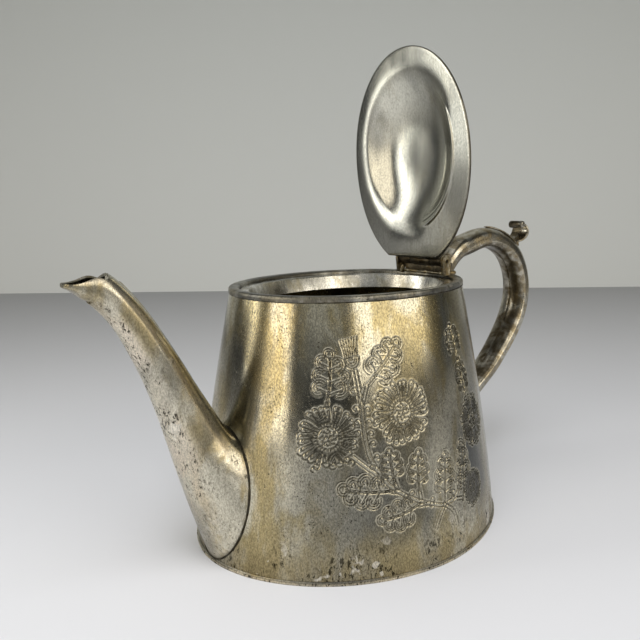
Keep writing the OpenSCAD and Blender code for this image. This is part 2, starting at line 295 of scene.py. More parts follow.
# duller pale grey, rubbed by tables
baseFinish = silverFinish("wornFootSilver", clean="#c2bdae", warmShare=0.3, roughLow=0.3, roughHigh=0.45)
# dark even grey with a soft sheen
rimFinish = silverFinish("leadGreySilver", clean="#b0aea4", warm="#7d735c", grey="#4c4c49", streak="#66645e",
    worn="#b9b4a2", cloudMm=7, streakStretch=(6, 6, 1), greyShare=0.5, greyMost=0.75, roughLow=0.24,
    roughHigh=0.40, pitShare=0.10)
# the cleanest and palest silver, satin
seatFinish = silverFinish("cleanInnerSilver", clean="#efede5", warm="#bdb392", grey="#9a9a95", warmShare=0.3,
    cloudMm=7, streakMost=0.3, roughLow=0.20, roughHigh=0.34)
# warm silver, rubbed pale and pitted in front
spoutFinish = silverFinish("rubbedSpoutSilver", clean="#d6d0bc", warm="#b3a06c", worn="#e2d8c8",
    grime="#4c4a40", cloudMm=11, warmShare=0.5, pitMm=0.6, pitShare=0.09, streakStretch=(1, 1, 8))
# pale where hands polish it, brown in the loop from tarnish and painted shade
handleFinish = silverFinish("handledBrownSilver", clean="#e2dccb", warm="#a08a5a", grey="#737066",
    grime="#2e2416", cloudMm=7, cloudStretch=(1, 1, 1), streakStretch=(4, 1, 4), warmShare=0.55, grain=0.35,
    roughLow=0.15, roughHigh=0.27)
# dark bronzed metal, nearly matt
hingeFinish = silverFinish("darkBronzedSilver", clean="#857b66", warm="#6f5a33", grey="#453f34",
    streak="#4a4437", cloudMm=5, cloudStretch=(1, 1, 1), streakStretch=(1, 6, 1), greyShare=0.6, greyMost=0.85,
    roughLow=0.34, roughHigh=0.55, bump=0.6)
# lumpy brown-grey solder
solderFinish = silverFinish("brownedSoftSolder", clean="#b3aa92", warm="#8d7748", grey="#5b5548", cloudMm=3,
    cloudStretch=(1, 1, 1), warmShare=0.5, warmMost=0.8, roughLow=0.38, roughHigh=0.6, bump=0.9, dents=0.4)
# a near-black line along the joints
seamFinish = silverFinish("blackenedSolderLine", clean="#4d4a42", warm="#3d3526", grey="#2b2a27", cloudMm=5,
    cloudStretch=(1, 1, 1), roughLow=0.45, roughHigh=0.65, bump=0.6)
# cool silver brushed one way, clear soft reflections
lidFinish = silverFinish("brushedLidSilver", clean="#dad8ca", warm="#a09678", grey="#7f807d", streak="#96958a",
    cloudMm=20, streakMm=0.8, grain=0.25, streakStretch=(1, 1, 22), warmShare=0.25, warmMost=0.5,
    greyShare=0.42, greyMost=0.6, streakMost=0.5, roughLow=0.13, roughHigh=0.24, pitShare=0.03, bump=0.3,
    dents=0.10)
# dull grey drawn wire
pinFinish = silverFinish("dullPinWire", clean="#7b7872", warm="#5c5240", grey="#454441", cloudMm=2,
    cloudStretch=(1, 1, 1), roughLow=0.35, roughHigh=0.5)
print("finishes made")

# Shape of the pot, from the frame

baseHigh = frameBox("base_plate")[1]
rimLow, rimHigh = frameBox("rim_mount")
body = {"footLip": 0.8, "plate": 1.2, "sheet": 1.2, "bow": 1.2, "rimOver": (1.0, 0.6)}
body.update(footX=baseHigh.x - body["footLip"], footY=baseHigh.y - body["footLip"],
    mouthX=rimHigh.x - body["rimOver"][0], mouthY=rimHigh.y - body["rimOver"][1], height=rimHigh.z,
    rimUnder=rimLow.z)


def taper(z):
    return (np.maximum(z, 0) / body["height"]) ** body["bow"]


def halfX(z):
    return body["footX"] - (body["footX"] - body["mouthX"]) * taper(z)


def halfY(z):
    return body["footY"] - (body["footY"] - body["mouthY"]) * taper(z)


def squareness(z):
    return 1.9 + 0.15 * z / body["height"]


def wallPoint(degrees, z, inset=0.0):
    z = np.asarray(z, float) + 0 * np.asarray(degrees, float)
    x, y = oval(halfX(z) - inset, halfY(z) - inset, squareness(z), degrees)
    return np.stack([x, y, z], -1)


def ovalEdge(halfLength, halfWidth, power, y):
    return halfLength * np.maximum(0, 1 - (np.abs(y) / halfWidth) ** power) ** (1 / power)


def wallX(y, z):
    return ovalEdge(halfX(z), halfY(z), squareness(z), y)


def outsideX(y, z):
    rim = ovalEdge(rimHigh.x, rimHigh.y, squareness(body["height"]), y)
    return np.where(z < body["rimUnder"] - 0.01, wallX(y, z), np.maximum(wallX(y, z), rim))


def rimRing(inset, z, degrees):
    x, y = oval(rimHigh.x - inset, rimHigh.y - inset, squareness(body["height"]), degrees)
    return np.stack([x, y, np.full_like(x, z)], -1)


# Engraving: lines on the wall in degrees round the pot and millimetres up it

engraving = {"grooveWidth": 0.8, "grooveDepth": 0.3, "burr": 0.2, "groundReach": 1.4, "petals": 25, "hand": 7,
    "daisies": [(-133, 59.8, 12.9), (-105.4, 67, 13.3), (-67, 53.8, 12), (-73, 25.6, 8.5)],
    # base of each leaf, the way it points, length and width
    "leaves": [(-133.5, 73, 88, 21.5, 15.5), (-117.5, 80.5, 47, 22, 15), (-112.5, 36.3, 172, 22, 14.5),
    (-102.5, 28.3, 190, 19, 13), (-110.5, 40, 97, 13.5, 11), (-101.5, 35, 84, 16, 11.5),
    (-90.8, 27, 80, 20, 13), (-80.4, 24, 84, 25, 12), (-73, 84.6, 100, 14.5, 13), (-70, 67, 98, 16.5, 12)],
    "bud": (-123.4, 86, 98, 12.5), "stems": [((-122.7, 85.9), (-121.1, 74.5), (-120.4, 65), (-119.6, 56.6),
    (-118.3, 50.4), (-114.8, 42.7), (-110.3, 36.4), (-102.1, 30), (-94, 25.8), (-90.8, 24.8)),
    ((-90.8, 24.8), (-93.7, 20.9), (-96, 16)), ((-90.8, 24.8), (-86.7, 20.8), (-85.2, 15.5)),
    ((-124.6, 51.7), (-120, 47), (-115.8, 43)), ((-112.5, 36.3), (-109, 35.2)), ((-102.5, 28.3), (-98, 27.5)),
    ((-110.5, 40), (-109.5, 36)), ((-101.5, 35), (-101, 30)), ((-118.5, 79), (-120.6, 72)),
    ((-133.4, 72), (-133.3, 74)), ((-80.4, 24), (-84, 25)), ((-90.8, 24.8), (-84, 27), (-79, 38), (-75, 50),
    (-72, 66), (-71, 84))],
    # small hooks along the stems: where, and the side they curl to
    "hooks": [(-121.4, 77, -1), (-120.9, 70, -1), (-120.5, 64.5, -1), (-120.7, 69, 1), (-120.3, 64, 1),
    (-119.8, 59.5, 1), (-119.2, 55.5, 1), (-118, 50, 1), (-116, 46, -1), (-112.5, 39.5, 1), (-106, 33, 1),
    (-105, 32, -1), (-98, 28, 1), (-95, 26, -1), (-88, 25.5, 1), (-84, 28, -1), (-80, 37, 1), (-77, 45, -1),
    (-139, 47.5, 1), (-136, 46.5, -1), (-127, 48.5, 1), (-124.5, 50, -1)]}


def spanPerDegree(degrees, z):
    return np.linalg.norm(wallPoint(degrees + 0.5, z) - wallPoint(degrees - 0.5, z))


def localFrame(degrees, z):
    span = spanPerDegree(degrees, z)
    return lambda across, up: (degrees + np.asarray(across) / span, z + np.asarray(up))


def aimedFrame(degrees, z, aim):
    # places given in millimetres along a direction and out from it
    place = localFrame(degrees, z)
    ahead = np.array([math.cos(math.radians(aim)), math.sin(math.radians(aim))])

    def spot(along, out):
        p = np.outer(along, ahead) + np.outer(out, [-ahead[1], ahead[0]])
        return place(p[:, 0], p[:, 1])
    return spot


def petalLines(degrees, z, radius, petals, random):
    # long petals in double outline that swirl out of a stippled disc
    place, lines = localFrame(degrees, z), []
    swirl = random.uniform(0.16, 0.26)
    for i in range(petals):
        turn = 2 * math.pi * i / petals + random.uniform(-0.03, 0.03)
        length = radius * random.uniform(0.88, 1.06)
        lean = swirl + random.uniform(-0.12, 0.12)
        spacing = math.pi / petals * random.uniform(0.74, 0.86)
        for share, start, end in ((1.0, 0.36, 1.0), (0.42, 0.46, 0.86)):
            reach = np.linspace(0, 1, 9)
            out = start * radius + (end * length - start * radius - spacing * share * length) * reach
            half = spacing * share * (0.8 + 0.2 * reach)
            tip = np.linspace(-0.5, 0.5, 7)[1:-1] * math.pi
            outs = np.concatenate([out, out[-1] + length * spacing * share * np.cos(tip), out[::-1]])
            sides = np.concatenate([-half, half[-1] * np.sin(tip), half[::-1]])
            angle = turn + sides + lean * ((outs - start * radius) / radius) ** 1.5
            lines.append(place(outs * np.cos(angle), outs * np.sin(angle)))
    around = np.linspace(0, 2 * math.pi, 25)
    lines.append(place(radius * 0.335 * np.cos(around), radius * 0.335 * np.sin(around)))
    dots = 22
    for i in range(dots):
        distance = radius * 0.28 * math.sqrt((i + 0.5) / dots)
        angle = 2.4 * i
        arc = np.linspace(0, 1.5 * math.pi, 6) + angle
        lines.append(place(distance * math.cos(angle) + 0.4 * np.cos(arc),
            distance * math.sin(angle) + 0.4 * np.sin(arc)))
    return lines


def leafLines(degrees, z, aim, length, width, random, lobes=3):
    # a lobed leaf: each lobe is three arcs inside one another, with a vein from the midrib
    straight, lines = aimedFrame(degrees, z, aim), []
    bow = random.uniform(-0.06, 0.06)

    def spot(along, out):
        return straight(along, out + bow * length * np.sin(along / length * math.pi))

    for shift in (-0.38, 0.38):
        lines.append(spot(np.linspace(-1.5, length * 0.86, 12), np.full(12, shift)))
    bulb = 0.42 * length / lobes
    for side in (-1, 1):
        for k in range(lobes):
            middle = length * (0.18 + 0.68 * (k + 0.35 + 0.15 * (side > 0)) / lobes)
            reach = width / 2 * (0.94, 1.0, 0.8)[k % 3] * random.uniform(0.94, 1.05)
            size = bulb * random.uniform(0.92, 1.06)
            vein = np.linspace(0, 1, 7)
            lines.append(spot(middle - 2.6 + 2.6 * vein ** 0.6, side * vein * (reach - size * 0.6)))
            for share in (1.0, 0.66, 0.34):
                turn = np.radians(np.linspace(-115, 140, 14))
                lines.append(spot(middle + share * size * np.sin(turn),
                    side * (reach - size + share * size * np.cos(turn))))
    tip = np.radians(np.linspace(-125, 125, 13))
    for share in (1.0, 0.6):
        lines.append(spot(length * 0.9 + share * bulb * 0.8 * np.cos(tip), share * bulb * 0.8 * np.sin(tip)))
    return lines


def budLines(degrees, z, aim, length):
    # a cup of scales with a tuft of fine petals
    spot, lines = aimedFrame(degrees, z, aim), []
    around = np.linspace(-0.5 * math.pi, 0.5 * math.pi, 12)
    for share in (1.0, 0.72, 0.44):
        lines.append(spot(4.2 - 3.6 * share * np.cos(around), 3.2 * share * np.sin(around)))
    lines.append(spot(4.4 + 0.6 * np.cos(around), 3.3 * np.sin(around)))
    for k in range(-3, 4):
        reach = np.linspace(0, 1, 6)
        lines.append(spot(5.2 + (length - 5.2) * reach, 1.25 * k * (0.7 + 0.3 * reach ** 1.4)))
    return lines


def stemLines(points):
    t = np.linspace(0, len(points) - 1, 8 * len(points))
    path = smoothCurve(points, t)
    scale = spanPerDegree(*path[0])
    step = np.gradient(path * [scale, 1], axis=0)
    step /= np.linalg.norm(step, axis=1, keepdims=True)
    lines = []
    for side in (-0.75, 0.75):
        moved = path + side * np.stack([-step[:, 1] / scale, step[:, 0]], 1)
        lines.append((moved[:, 0], moved[:, 1]))
    return lines


def hookLines(degrees, z, side):
    # a comma that leaves the stem and curls back
    turn = np.linspace(0, 1.5 * math.pi, 12)
    size = 1.5 - 0.75 * turn / turn[-1]
    return [localFrame(degrees, z)(side * (0.9 + 1.5 - size * np.cos(turn)), size * np.sin(turn) + 0.6)]


def engravedLines():
    random = np.random.default_rng(engraving["hand"])
    lines = []
    for daisy in engraving["daisies"]:
        lines += petalLines(*daisy, engraving["petals"], random)
    for leaf in engraving["leaves"]:
        lines += leafLines(*leaf, random)
    lines += budLines(*engraving["bud"])
    for stem in engraving["stems"]:
        lines += stemLines(stem)
    for hook in engraving["hooks"]:
        lines += hookLines(*hook)
    return lines


def wireOnWall(name, lines):
    points, edges = [], []
    for degrees, z in lines:
        on = wallPoint(np.asarray(degrees), np.clip(z, 2, body["rimUnder"] - 1))
        edges += [(len(points) + i, len(points) + i + 1) for i in range(len(on) - 1)]
        points += on.tolist()
    return makeWire(name, points, edges)


# Geometry nodes

def newTree(name, **inputs):
    tree = bpy.data.node_groups.new(name, "GeometryNodeTree")
    tree.interface.new_socket("Geometry", in_out="INPUT", socket_type="NodeSocketGeometry")
    for label, kind in inputs.items():
        tree.interface.new_socket(label, in_out="INPUT", socket_type="NodeSocket" + kind)
    tree.interface.new_socket("Geometry", in_out="OUTPUT", socket_type="NodeSocketGeometry")
    return tree, tree.nodes.new("NodeGroupInput").outputs


def finishTree(tree, geometry, finish):
    smooth = addNode(tree, "GeometryNodeSetShadeSmooth", {"Geometry": geometry})
    real = addNode(tree, "GeometryNodeRealizeInstances", {"Geometry": smooth.outputs[0]})
    painted = addNode(tree, "GeometryNodeSetMaterial", {"Geometry": real.outputs[0], "Material": finish})
    addNode(tree, "NodeGroupOutput", {0: painted.outputs[0]})


def runTree(piece, tree, **values):
    grow = piece.modifiers.new(tree.name, "NODES")
    grow.node_group = tree
    for socket in tree.interface.items_tree:
        if socket.in_out == "INPUT" and socket.name in values:
            grow[socket.identifier] = values[socket.name]
    return applyModifiers(piece)


def wallTree():
    floats = ("grooveWidth", "grooveDepth", "burr", "groundReach", "holeRadius", "pitch")
    tree, given = newTree("pierceAndEngrave", lines="Object", **dict.fromkeys(floats, "Float"),
        holeCentre="Vector")
    pitch, width, burrHeight = given["pitch"], given["grooveWidth"], given["burr"]

    def times(value, factor):
        return calculate(tree, "MULTIPLY", value, factor)

    def subtract(a, b):
        return calculate(tree, "SUBTRACT", a, b)

    holes = addNode(tree, "GeometryNodeJoinGeometry")
    rows = [addNode(tree, "GeometryNodeMeshGrid", {"Size X": times(pitch, 2.0 * (countUp - 1)),
        "Size Y": times(pitch, countAcross - 1.0), "Vertices X": countUp,
        "Vertices Y": countAcross}).outputs["Mesh"] for countUp, countAcross in ((3, 3), (2, 4))]
    for row in rows:
        tree.links.new(row, holes.inputs[0])
    drill = addNode(tree, "GeometryNodeMeshCylinder", {"Vertices": 24, "Radius": given["holeRadius"],
        "Depth": 24 * mm})
    drills = addNode(tree, "GeometryNodeInstanceOnPoints", {"Points": holes.outputs[0],
        "Instance": drill.outputs["Mesh"]})
    placed = addNode(tree, "GeometryNodeTransform", {"Geometry": drills.outputs[0],
        "Translation": given["holeCentre"], "Rotation": (0, math.pi / 2, 0)})
    solid = addNode(tree, "GeometryNodeRealizeInstances", {"Geometry": placed.outputs[0]})
    pierced = addNode(tree, "GeometryNodeMeshBoolean", {"Mesh 1": given["Geometry"]}, operation="DIFFERENCE")
    tree.links.new(solid.outputs[0], pierced.inputs["Mesh 2"])
    wire = addNode(tree, "GeometryNodeObjectInfo", {"Object": given["lines"]}).outputs["Geometry"]
    near = addNode(tree, "GeometryNodeProximity", {0: wire}, target_element="EDGES").outputs["Distance"]

    def ramp(reach, high):
        return remap(tree, near, 0.0, reach, high, 0.0)

    burr = subtract(ramp(times(width, 1.25), burrHeight), ramp(times(width, 0.62), burrHeight))
    depth = subtract(ramp(times(width, 0.5), given["grooveDepth"]), burr)
    normal = addNode(tree, "GeometryNodeInputNormal").outputs[0]
    inward = addNode(tree, "ShaderNodeVectorMath", {0: normal, "Scale": times(depth, -1.0)}, operation="SCALE")
    # a pale band on the raised burr beside each groove: painted highlight, with the burr also polished smoother
    bright = subtract(ramp(times(width, 1.15), 1.0), ramp(times(width, 0.8), 1.0))
    marked = pierced.outputs["Mesh"]
    for label, value in (("cut", ramp(times(width, 0.5), 1.0)), ("ground", ramp(given["groundReach"], 1.0)),
            ("rubbed", times(bright, 2.5))):
        marked = addNode(tree, "GeometryNodeStoreNamedAttribute", {"Geometry": marked, "Name": label,
            "Value": value}, data_type="FLOAT", domain="POINT").outputs[0]
    moved = addNode(tree, "GeometryNodeSetPosition", {"Geometry": marked, "Offset": inward.outputs[0]})
    finishTree(tree, moved.outputs[0], wallFinish)
    return tree


def beadTree(name, finish):
    # a run of solder along a path, fatter and thinner by chance
    tree, given = newTree(name, radius="Float", unevenness="Float", lumpSize="Float", seed="Float")
    path = addNode(tree, "GeometryNodeMeshToCurve", {0: given["Geometry"]})
    even = addNode(tree, "GeometryNodeResampleCurve", {"Curve": path.outputs[0], "Length": 0.7 * mm},
        mode="LENGTH")
    lumps = addNode(tree, "ShaderNodeTexNoise", {"Scale": given["lumpSize"], "W": given["seed"]},
        noise_dimensions="4D")
    swing = remap(tree, lumps.outputs[0], 0.25, 0.75, -1.0, 1.0, smooth=False)
    change = calculate(tree, "MULTIPLY_ADD", swing, given["unevenness"], 1.0)
    radius = calculate(tree, "MULTIPLY", change, given["radius"])
    section = addNode(tree, "GeometryNodeCurvePrimitiveCircle", {"Resolution": 10, "Radius": 1.0},
        mode="RADIUS")
    tube = addNode(tree, "GeometryNodeCurveToMesh", {"Curve": even.outputs[0],
        "Profile Curve": section.outputs[0], "Fill Caps": True})
    if "Scale" in tube.inputs:
        tree.links.new(radius, tube.inputs["Scale"])
    finishTree(tree, tube.outputs[0], finish)
    return tree


beadTrees = {finish.name: beadTree("beadOf" + finish.name[0].upper() + finish.name[1:], finish)
    for finish in (seamFinish, solderFinish, baseFinish)}


def bead(name, path, radius, finish, loop=False, unevenness=0.2, lumpMm=4, seed=0.0):
    count = len(path)
    edges = [(i, i + 1) for i in range(count - 1)] + ([(count - 1, 0)] if loop else [])
    piece = makeWire(name, path, edges)
    runTree(piece, beadTrees[finish.name], radius=radius * mm, unevenness=unevenness,
        lumpSize=1 / (lumpMm * mm), seed=seed)
    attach(piece, "pot")


# Wall, base and mouth

strainer = {"holeRadius": 1.4, "pitch": 6.4, "centreUp": 30}
wallGrid = {"engravedFrom": -150, "engravedTo": -54, "engravedColumns": 292, "plainColumns": 48,
    "engravedLow": 6.0, "engravedHigh": 105.0, "engravedRows": 262}


def makeWall():
    grid = wallGrid
    fine = np.linspace(grid["engravedFrom"], grid["engravedTo"], grid["engravedColumns"], endpoint=False)
    plain = np.linspace(grid["engravedTo"], grid["engravedFrom"] + 360, grid["plainColumns"], endpoint=False)
    degrees = np.concatenate([fine, plain])
    up = np.concatenate([[body["plate"], 2.5], np.linspace(grid["engravedLow"], grid["engravedHigh"],
        grid["engravedRows"]), np.linspace(106.5, body["rimUnder"], 3)])
    down = np.linspace(body["rimUnder"], body["plate"], 12)
    rings = [wallPoint(degrees, z) for z in up] + [wallPoint(degrees, z, body["sheet"]) for z in down]
    faces = sheetFaces(len(rings), len(degrees), loopRows=True)
    x, y, z = np.moveaxis(np.array(rings), -1, 0)
    fromSpout = np.degrees(np.arctan2(y / body["footY"], -x / body["footX"]))
    grime = 0.75 * bell(z, 0, 14) + 0.35 * bell(fromSpout, 0, 32) * bell(z, 20, 70)
    lowHalf = 1 / (1 + np.exp((z - 72) / 6)) * np.clip((z - 10) / 14, 0, 1)
    dark = lowHalf * (bell(degrees, -72, 21) + 0.75 * bell(degrees, -112, 22))
    marks = {"grime": np.clip(grime, 0, 1) * 0.6, "worn": 0.75 * bell(z, 4, 12), "dark": dark}
    wall = makePiece("bodyWall", rings, faces, wallFinish, marks)
    wire = wireOnWall("engravedLines", engravedLines())
    sizes = {key: engraving[key] * mm for key in ("grooveWidth", "grooveDepth", "burr", "groundReach")}
    runTree(wall, wallTree(), lines=wire, holeRadius=strainer["holeRadius"] * mm, pitch=strainer["pitch"] * mm,
        holeCentre=(-body["footX"] * mm, 0, strainer["centreUp"] * mm), **sizes)
    wall.data.set_sharp_from_angle(angle=math.radians(60))
    bpy.data.objects.remove(wire)
    standFor(wall, "body_wall")
    return wall


wall = makeWall()
print("wall engraved:", len(wall.data.polygons), "faces")

ringDegrees = np.linspace(0, 360, 240, endpoint=False)


def ringPiece(name, section, finish, node, marks=None):
    # section rows are inset and height, joined in a loop
    rings = [rimRing(inset, z, ringDegrees) for inset, z in section]
    faces = sheetFaces(len(rings), len(ringDegrees), loopRows=True)
    standFor(makePiece(name, rings, faces, finish, marks, sharpAngle=35), node)


def makeBase():
    edge = [(0.8, 0.0), (0.25, 0.0), (0.06, 0.15), (0.0, 0.4), (0.0, 0.75), (0.12, 1.05), (0.4, 1.2),
        (0.8, 1.2), (2.5, 1.2)]
    rings = []
    for inset, z in [(30.0, 0.0), (6.0, 0.0)] + edge + [(6.0, 1.2), (30.0, 1.2)]:
        x, y = oval(baseHigh.x - inset, baseHigh.y - inset, squareness(0), ringDegrees)
        rings.append(np.stack([x, y, np.full_like(x, z)], -1))
    count = len(ringDegrees)
    worn = np.repeat([0, 0, 0, 0.8, 1, 1, 1, 0.8, 0.5, 0.2, 0, 0, 0], count)
    base = makePiece("basePlate", rings, cappedFaces(len(rings), count), baseFinish, {"worn": worn})
    standFor(base, "base_plate")


makeBase()
footLine = wallPoint(ringDegrees, body["plate"] + 0.1, -0.05)
bead("footSolder", footLine, 0.35, baseFinish, loop=True, unevenness=0.35)

rim = {"width": 4.8, "height": 2.5, "seatInner": 9.3, "seatZ": body["height"] - 1.8, "collar": 7.2,
    # how far the collar leans in towards its lower edge
    "flare": 1.5}


def makeMouth():
    low, top, width = body["rimUnder"], body["height"], rim["width"]
    outer = [(0.0, low), (0.0, low + 1.0), (0.03, low + 1.5), (0.16, low + 1.95), (0.42, low + 2.28),
        (0.8, low + 2.45), (1.3, top), (2.2, top - 0.02), (3.2, top - 0.08), (3.9, top - 0.2),
        (4.4, top - 0.42), (4.68, top - 0.75), (width, top - 1.2), (width, low)]
    worn = np.repeat([0, 0.2, 0.5, 0.8, 0.6, 0.3, 0.1, 0, 0, 0.1, 0.3, 0.3, 0, 0], len(ringDegrees))
    ringPiece("rimMount", outer, rimFinish, "rim_mount", {"worn": worn * 0.6})
    z, inner, flare = rim["seatZ"], rim["seatInner"], rim["flare"]
    lowest, back = z - rim["collar"], inner + flare
    seat = [(width + 0.05, z - 0.9), (width + 0.05, z - 0.35), (width + 0.35, z - 0.08), (width + 0.8, z),
        (inner - 0.9, z), (inner - 0.45, z - 0.06), (inner - 0.1, z - 0.35), (inner + 0.05, z - 0.8),
        (back, lowest + 0.3), (back - 0.15, lowest), (back - 0.75, lowest), (back - 0.9, lowest + 0.3),
        (inner - 0.85, z - 1.4), (inner - 1.3, z - 0.9)]
    ringPiece("lidSeat", seat, seatFinish, "lid_seat")
    groove = rimRing(width + 0.05, z - 0.45, ringDegrees)
    bead("mouthSolder", groove, 0.33, seamFinish, loop=True, unevenness=0.3)
    under = wallPoint(ringDegrees, body["rimUnder"] - 0.05, -0.05)
    bead("rimSolder", under, 0.3, seamFinish, loop=True, unevenness=0.4, seed=3.0)


makeMouth()
print("base and mouth made")

# Spout, in two stamped halves

spout = {"sheet": 1.2, "rootHalfWidth": 18.6, "rootHalfHeight": 28.6, "seamRise": 0.5, "seamDip": 0.35,
    "valley": 0.07,
    # centre line from the end of the root to the lip: x, z, half depth, half width, open arc
    "line": [[-84, 57, 11.8, 11.2, 0], [-91, 73, 9.6, 9, 0], [-98, 88.5, 8.1, 7.7, 0],
    [-107, 105.5, 6.9, 6.5, 0], [-114, 115.6, 6.5, 6, 0], [-120.7, 122.3, 6.4, 5.8, 0],
    [-125.4, 123.5, 4.9, 5.5, 60], [-130, 124.3, 2.4, 4.9, 78], [-132.1, 124.7, 1.6, 4.1, 82],
    [-133.0, 124.9, 1.3, 2.4, 84]], "hood": 5,
    # middle of the flare: x, z, half length, half width, lean
    "flare": [-78.5, 40, 20.4, 16.5, 68]}


tubePower = 2.4


def tubeSection(rows, t, phi, inset, side):
    station = smoothCurve(rows, t)[0]
    aim = heading(rows, np.array([float(t)]))[0]
    across = side * np.array([aim[1], -aim[0]])
    along, out = oval(max(station[2] - inset, 0.25), max(station[3] - inset, 0.25), tubePower, phi)
    return np.stack([station[0] + across[0] * along, -out, station[1] + across[1] * along], -1)


def seamProfile(section, middle, amount):
    # two fine ridges with a dip between them where the halves meet
    fromSeam = np.abs(section[:, 1])
    lift = amount * (spout["seamRise"] * bell(fromSeam, 0.85, 0.5) - spout["seamDip"] * bell(fromSeam, 0, 0.28))
    outward = section - middle
    outward /= np.linalg.norm(outward, axis=1, keepdims=True)
    return section + outward * lift[:, None] * [1, 0, 1]


def spoutRing(t, phi, inset):
    section = tubeSection(spout["line"], max(t, 0), phi, inset, 1)
    if t >= 0:
        middle = smoothCurve(spout["line"], t)[0]
        middle = np.array([middle[0], 0, middle[1]])
    else:
        u, up, across = t + 1, np.cos(np.radians(phi)), -np.sin(np.radians(phi))
        z = body["plate"] + spout["rootHalfHeight"] + 0.2 + (spout["rootHalfHeight"] - inset) * up
        y = (spout["rootHalfWidth"] - inset) * across
        root = np.stack([-wallX(y, z) - 0.02, y, z], -1)
        fx, fz, length, width, lean = spout["flare"]
        along, lean = (length - inset) * up, math.radians(lean)
        flare = np.stack([fx + math.cos(lean) * along, (width - inset) * across, fz + math.sin(lean) * along],
            -1)
        section = (1 - u) ** 2 * root + 2 * u * (1 - u) * flare + u ** 2 * section
        middle = section.mean(axis=0) * [1, 0, 1]
    if inset == 0:
        strength = min(1, max(0, (t + 0.75) / 0.8)) * (1 if t < spout["hood"] - 0.5 else 0.3)
        topSeam = np.clip(1 - phi / 90, 0, 1)[:, None]
        section = section + (seamProfile(section, middle, strength) - section) * np.clip(topSeam * 3, 0, 1)
        hollow = spout["valley"] * min(1, max(0, t + 0.8)) * np.clip((5.5 - t) / 2, 0, 1) * bell(phi, 58, 15)
        section = section + (middle - section) * hollow[:, None]
    return section


def openFrom(t):
    hood = spout["hood"]
    if t <= hood:
        return 0.0
    return smoothCurve(spout["line"], t)[0][4] if t >= hood + 1 else 56 + 4 * (t - hood)


def halfShell(name, side, rings, marks, finish, node):
    # one stamped half: each ring runs along the outside and back along the inside
    rings = np.array(rings) * [1, side, 1]
    rows, columns = rings.shape[:2]
    faces, last = sheetFaces(rows, columns), (rows - 1) * columns
    for j in range(columns // 2 - 1):
        faces.append((j, j + 1, columns - 2 - j, columns - 1 - j))
        faces.append((last + columns - 1 - j, last + columns - 2 - j, last + j + 1, last + j))
    standFor(makePiece(name, rings, faces, finish, marks, 50), node)


def makeSpoutHalf(name, side, node):
    hood = spout["hood"]
    steps = np.concatenate([np.linspace(-1, 0, 40, endpoint=False), np.linspace(0, hood, 75), [hood + 0.03],
        np.linspace(hood + 0.08, len(spout["line"]) - 1, 44)])
    spread = np.concatenate([[0, 0.008, 0.018, 0.03, 0.045, 0.065, 0.09], np.linspace(0.12, 1, 38)])
    rings, worn, grime = [], [], []
    for t in steps:
        phi = np.maximum(180 * spread, openFrom(t))
        rings.append(np.vstack([spoutRing(t, phi, 0), spoutRing(t, phi[::-1], spout["sheet"])]))
        under = 1 / (1 + np.exp(-(phi - 116) / 7)) * np.clip((5.6 - t) / 2.2, 0.15,
            1) * np.clip((t + 1.0) / 1.2, 0.3, 1)
        # dark along the side crease and under the tip: tarnish with painted shade; a dark joint at the root;
        # the inside a little darker
        valley = bell(phi, 98, 12) * 0.6 + 0.4 * bell(phi, 150, 30) * np.clip(t - 3.5, 0, 1)
        edge = 0.9 * bell(t, -1, 0.04)
        # pale and rough underneath is wear; the pale band along the upper side is a painted highlight
        worn.append(np.concatenate([np.maximum(under, 0.6 * bell(phi, 66, 11)), 0 * under]))
        grime.append(np.concatenate([np.maximum(valley, edge), 0 * under + 0.35]))
    marks = {"worn": np.array(worn), "grime": np.array(grime)}
    halfShell(name, side, rings, marks, spoutFinish, node)


makeSpoutHalf("spoutNearHalf", 1, "spout_near_half")
makeSpoutHalf("spoutFarHalf", -1, "spout_far_half")
around = np.linspace(0, 360, 120, endpoint=False)
rootEdge = spoutRing(-1, around, 0)
rootEdge[:, 2] = np.maximum(rootEdge[:, 2], 1.6)
rootEdge[:, 0] -= 0.1
bead("spoutSolder", rootEdge, 0.42, seamFinish, loop=True, unevenness=0.4, seed=5.0)
print("spout made")

# Handle, in two stamped halves, with its thumb rest

handle = {"sheet": 1.3, "crease": 0.45,
    # centre line from the rim to the wall: x, z, half thickness, half width
    "line": [[79.3, 126.9, 5.7, 7.2], [102, 130.6, 5.5, 7.1], [122.3, 121.4, 5.5, 7.6],
    [132.1, 102.8, 5.8, 7.6], [128.2, 82, 5.8, 7.8], [109.2, 58.7, 5.3, 7.2], [90.7, 45.1, 5.2, 7.2]],
    # height, half height and half width of each end
    "topRoot": (110.6, 9.2, 7.8), "lowRoot": (33.5, 7.4, 7.6)}


def rootRing(root, phi, inset, turn):
    z = root[0] + turn * (root[1] - inset) * np.cos(np.radians(phi))
    y = -(root[2] - inset) * np.sin(np.radians(phi))
    return np.stack([outsideX(y, z) + 0.02, y, z], -1)


